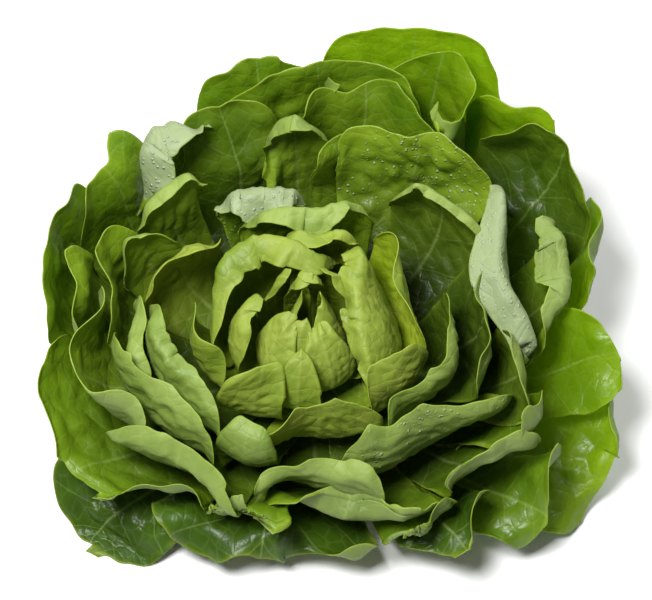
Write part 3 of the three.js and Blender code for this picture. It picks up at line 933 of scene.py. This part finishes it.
FINISHES = {
    "young": HEART_FINISH,
    "heart": HEART_FINISH,
    "inner": INNER_FINISH,
    "wrapper": WRAPPER_FINISH,
    "outer": OUTER_FINISH,
    "yellow": HEART_FINISH | {"upper": (0.27, 0.39, 0.012), "upper_light": (0.44, 0.54, 0.04)},
    "dewy": INNER_FINISH | {"dew": 0.4},
    "olive": INNER_FINISH | {"upper": (0.055, 0.10, 0.004), "upper_light": (0.13, 0.20, 0.010)},
    # A pale sheen painted on the undersides near the rim of folded-over leaves, with drops of dew.
    "painted_sheen": WRAPPER_FINISH | {"painted_sheen": (0.36, 0.44, 0.23), "dew": 0.7},
    # A lighter copy of the wrapper finish for leaves lit from behind: its lighter colour is
    # painted light, and more light really comes through the blade.
    "see_through_and_painted_light": WRAPPER_FINISH | {
        "upper": (0.17, 0.30, 0.003), "upper_light": (0.30, 0.44, 0.008), "see_through": 0.4
    },
    # A darker, duller copy of the wrapper finish: painted shade for the leaves that lie low in the
    # shadow under the head.
    "painted_shade": WRAPPER_FINISH | {
        "upper": (0.03, 0.07, 0.003),
        "upper_light": (0.06, 0.13, 0.006),
        "see_through": 0.05,
        "gloss": 0.25,
    },
}


def stem_finish(name, colour, cut_colour):
    """The stem: milky skin, and a cut face browned towards its edge."""
    finish = Finish(name)
    place = finish.out(finish.node("ShaderNodeTexCoord"), "Object")
    split = finish.node("ShaderNodeSeparateXYZ", {}, {0: place})
    x, y, z = (finish.out(split, key) for key in "XYZ")
    radius = (x * x + y * y) ** 0.5 / (STEM_BASE_RADIUS * MM)
    cut = (1.0 - z / CUT_HEIGHT).clamp()
    stain = finish.noise(place, STAIN_SCALE, 4.0)
    brown = (radius**3.0 * 0.9 + stain * 0.5 - 0.25).clamp() * cut
    shade = finish.blend(rgb(colour), rgb(cut_colour), brown)
    shader = finish.node("ShaderNodeBsdfPrincipled", {}, {"Base Color": shade, "Roughness": 0.6})
    finish.surface(finish.out(shader))
    return finish.material


def show(mesh, name, material, node):
    """Puts a finished mesh in the scene, standing for its node of the frame if it has one."""
    piece = bpy.data.objects.new(name, mesh)
    bpy.context.scene.collection.objects.link(piece)
    mesh.materials.append(material)
    if node:
        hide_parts(node)
    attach(piece, "root")


def leaf_material(finish, settings):
    """The material of a finish, made when the first leaf asks for it."""
    name = f"{finish} leaf"
    return bpy.data.materials.get(name) or leaf_finish(name, FINISHES[finish], settings)


def grow_leaves(kind, settings):
    """All leaves of one kind, each its own piece."""
    for index, row in enumerate(LEAVES[kind]):
        leaf = f"{kind}_{index + 1:02d}"
        name = f"{leaf}_blade"
        surface = leaf_surface(leaf, kind, row, settings)
        mesh = closed_shell(name, surface, shell_thickness(surface, row[4]))
        finish = LOOKS.get(leaf, {}).get("finish", kind.split("_")[0])
        material = leaf_material(finish, settings)
        if kind == "young_leaf":
            show(mesh, name, material, None)
        else:
            show(mesh, name, material, leaf)


class LettuceSettings(bpy.types.PropertyGroup):
    """Sizes and finishes of the head."""

    ruffle: bpy.props.FloatProperty(
        name="Ruffle", description="Height of the margins' ruffles", default=1.0, min=0, max=2
    )
    blister: bpy.props.FloatProperty(
        name="Blister", description="Height of the blisters", default=1.0, min=0, max=2
    )
    vein: bpy.props.FloatProperty(
        name="Veins",
        description="How clearly the veins show",
        default=0.4,
        min=0,
        max=1,
        subtype="FACTOR",
    )
    stem_colour: bpy.props.FloatVectorProperty(
        name="Stem", description="Colour of the stem", default=(0.62, 0.66, 0.38), subtype="COLOR"
    )
    cut_colour: bpy.props.FloatVectorProperty(
        name="Cut",
        description="Colour of the dried cut",
        default=(0.30, 0.14, 0.05),
        subtype="COLOR",
    )
    floor_colour: bpy.props.FloatVectorProperty(
        name="Floor",
        description="Colour of the floor",
        default=(0.85, 0.85, 0.85),
        subtype="COLOR",
    )


def stem_mesh(name):
    """The stem turned about its axis: a flat cut face, then its radius falls to the tip as the
    square root of the layer, with slight ribs under the leaves' feet. Poles are single points."""
    layer = np.linspace(1, 0, STEM_RINGS)
    radius = foot_radius(layer) - STEM_INSET
    height = foot_height(layer)
    radius = np.concatenate([[STEM_BASE_RADIUS - 0.9, STEM_BASE_RADIUS - STEM_INSET], radius])
    height = np.concatenate([[0, 0.5], height])
    turn = np.linspace(0, math.tau, STEM_SIDES, endpoint=False)
    ribs = 1 + 0.015 * np.sin(STEM_RIBS * turn) * smoothstep(height, 1, 8)[:, None]
    ring = radius[:, None] * ribs
    up = height[:, None] + 0 * ring
    places = np.stack([ring * np.cos(turn), ring * np.sin(turn), up], axis=-1)
    corner = np.arange(ring.size).reshape(ring.shape)
    after = np.roll(corner, -1, axis=1)
    walls = np.stack([corner[:-1], after[:-1], after[1:], corner[1:]], axis=-1).reshape(-1, 4)
    bottom, tip = np.full(STEM_SIDES, ring.size), np.full(STEM_SIDES, ring.size + 1)
    caps = [[bottom, after[0], corner[0]], [tip, corner[-1], after[-1]]]
    caps = np.concatenate([np.stack(cap, axis=-1) for cap in caps])
    poles = [[0, 0, 0], [0, 0, STEM_TOP + STEM_TIP]]
    verts = np.concatenate([places.reshape(-1, 3), poles]) * MM
    mesh = bpy.data.meshes.new(name)
    mesh.from_pydata(verts.tolist(), [], walls.tolist() + caps.tolist())
    mesh.update()
    return mesh


class LETTUCE_OT_stem(bpy.types.Operator):
    """Makes the stem with its cut face"""

    bl_idname = "lettuce.stem"
    bl_label = "Stem"

    def execute(self, context):
        settings = context.scene.lettuce
        material = stem_finish("stem skin", settings.stem_colour, settings.cut_colour)
        show(stem_mesh("stem_core"), "stem_core", material, "stem")
        return {"FINISHED"}


class LETTUCE_OT_heart_leaves(bpy.types.Operator):
    """Makes the folded leaves of the heart"""

    bl_idname = "lettuce.heart_leaves"
    bl_label = "Heart leaves"

    def execute(self, context):
        grow_leaves("young_leaf", context.scene.lettuce)
        grow_leaves("heart_leaf", context.scene.lettuce)
        return {"FINISHED"}


class LETTUCE_OT_inner_leaves(bpy.types.Operator):
    """Makes the cupped leaves round the heart"""

    bl_idname = "lettuce.inner_leaves"
    bl_label = "Inner leaves"

    def execute(self, context):
        grow_leaves("inner_leaf", context.scene.lettuce)
        return {"FINISHED"}


class LETTUCE_OT_wrapper_leaves(bpy.types.Operator):
    """Makes the blistered leaves that stand open"""

    bl_idname = "lettuce.wrapper_leaves"
    bl_label = "Wrapper leaves"

    def execute(self, context):
        grow_leaves("wrapper_leaf", context.scene.lettuce)
        return {"FINISHED"}


class LETTUCE_OT_outer_leaves(bpy.types.Operator):
    """Makes the oldest, widest leaves"""

    bl_idname = "lettuce.outer_leaves"
    bl_label = "Outer leaves"

    def execute(self, context):
        grow_leaves("outer_leaf", context.scene.lettuce)
        return {"FINISHED"}


# The stage, in metres and degrees.
CAMERA_ELEVATION = 60
CAMERA_DISTANCE = 1.1
CAMERA_LENS = 125
AIM = (0.008, 0.022, 0.050)  # what the camera and the lamps face
FLOOR_REACH = 3.0
SEEN_FLOOR = (0.96, 0.96, 0.96)  # the floor's colour as it is seen, mirrored or seen through
ROOM_LIGHT = 0.14
LAMPS = (
    ("key", 0.35, 17.0, (-0.30, -0.20, 1.1)),
    ("back", 0.6, 8.0, (0.35, 0.85, 0.75)),
)


def floor_mesh(name, reach):
    """A square floor at z = 0."""
    mesh = bpy.data.meshes.new(name)
    corners = [(-reach, -reach, 0), (reach, -reach, 0), (reach, reach, 0), (-reach, reach, 0)]
    mesh.from_pydata(corners, [], [(0, 1, 2, 3)])
    return mesh


def floor_finish(name, colour):
    """Plain floor paint, which shows the seen floor's colour to the camera and in gloss."""
    finish = Finish(name)
    rays = finish.node("ShaderNodeLightPath")
    kinds = ("Is Camera Ray", "Is Glossy Ray", "Is Transmission Ray")
    seen, mirrored, through = (finish.out(rays, kind) for kind in kinds)
    paint = finish.blend(rgb(colour), rgb(SEEN_FLOOR), (seen + mirrored + through).clamp())
    shader = finish.node("ShaderNodeBsdfPrincipled", {}, {"Base Color": paint, "Roughness": 0.9})
    finish.surface(finish.out(shader))
    return finish.material


def add_lamp(name, size, power, place):
    """A square soft light that faces the head."""
    data = bpy.data.lights.new(name, "AREA")
    data.size = size
    data.energy = power
    lamp = bpy.data.objects.new(name, data)
    lamp.location = place
    direction = np.array(AIM) - np.array(place)
    lamp.rotation_euler = (
        math.atan2(math.hypot(direction[0], direction[1]), -direction[2]),
        0,
        math.atan2(direction[1], direction[0]) - math.pi / 2,
    )
    bpy.context.scene.collection.objects.link(lamp)


def add_camera(scene):
    """A camera that faces AIM from the front, raised by its elevation."""
    camera = bpy.data.objects.new("camera", bpy.data.cameras.new("camera"))
    raised = math.radians(CAMERA_ELEVATION)
    camera.location = (
        AIM[0],
        AIM[1] - CAMERA_DISTANCE * math.cos(raised),
        AIM[2] + CAMERA_DISTANCE * math.sin(raised),
    )
    camera.rotation_euler = (math.pi / 2 - raised, 0, 0)
    camera.data.lens = CAMERA_LENS
    scene.collection.objects.link(camera)
    scene.camera = camera


class LETTUCE_OT_stage(bpy.types.Operator):
    """Sets up the floor, the soft light and the camera"""

    bl_idname = "lettuce.stage"
    bl_label = "Stage"

    def execute(self, context):
        scene = context.scene
        scene.view_settings.view_transform = "Standard"
        floor = bpy.data.objects.new("floor", floor_mesh("floor", FLOOR_REACH))
        floor.data.materials.append(floor_finish("floor paint", scene.lettuce.floor_colour))
        scene.collection.objects.link(floor)

        world = bpy.data.worlds.new("studio")
        world.use_nodes = True
        background = world.node_tree.nodes["Background"]
        background.inputs["Color"].default_value = (1, 1, 1, 1)
        background.inputs["Strength"].default_value = ROOM_LIGHT
        scene.world = world
        for lamp in LAMPS:
            add_lamp(*lamp)
        add_camera(scene)
        return {"FINISHED"}


OPERATORS = (
    LETTUCE_OT_stem,
    LETTUCE_OT_heart_leaves,
    LETTUCE_OT_inner_leaves,
    LETTUCE_OT_wrapper_leaves,
    LETTUCE_OT_outer_leaves,
    LETTUCE_OT_stage,
)


class LETTUCE_PT_panel(bpy.types.Panel):
    """Lists the head's pieces"""

    bl_label = "Lettuce"
    bl_idname = "LETTUCE_PT_panel"
    bl_space_type = "VIEW_3D"
    bl_region_type = "UI"
    bl_category = "Lettuce"

    def draw(self, context):
        column = self.layout.column()
        for name in LettuceSettings.__annotations__:
            column.prop(context.scene.lettuce, name)
        for operator in OPERATORS:
            column.operator(operator.bl_idname)


CLASSES = (LettuceSettings, *OPERATORS, LETTUCE_PT_panel)


def register():
    for cls in CLASSES:
        bpy.utils.register_class(cls)
    bpy.types.Scene.lettuce = bpy.props.PointerProperty(type=LettuceSettings)


def unregister():
    del bpy.types.Scene.lettuce
    for cls in reversed(CLASSES):
        bpy.utils.unregister_class(cls)


def main():
    register()
    bpy.ops.lettuce.stem()
    bpy.ops.lettuce.heart_leaves()
    bpy.ops.lettuce.inner_leaves()
    bpy.ops.lettuce.wrapper_leaves()
    bpy.ops.lettuce.outer_leaves()
    bpy.ops.lettuce.stage()


if __name__ == "__main__":
    main()
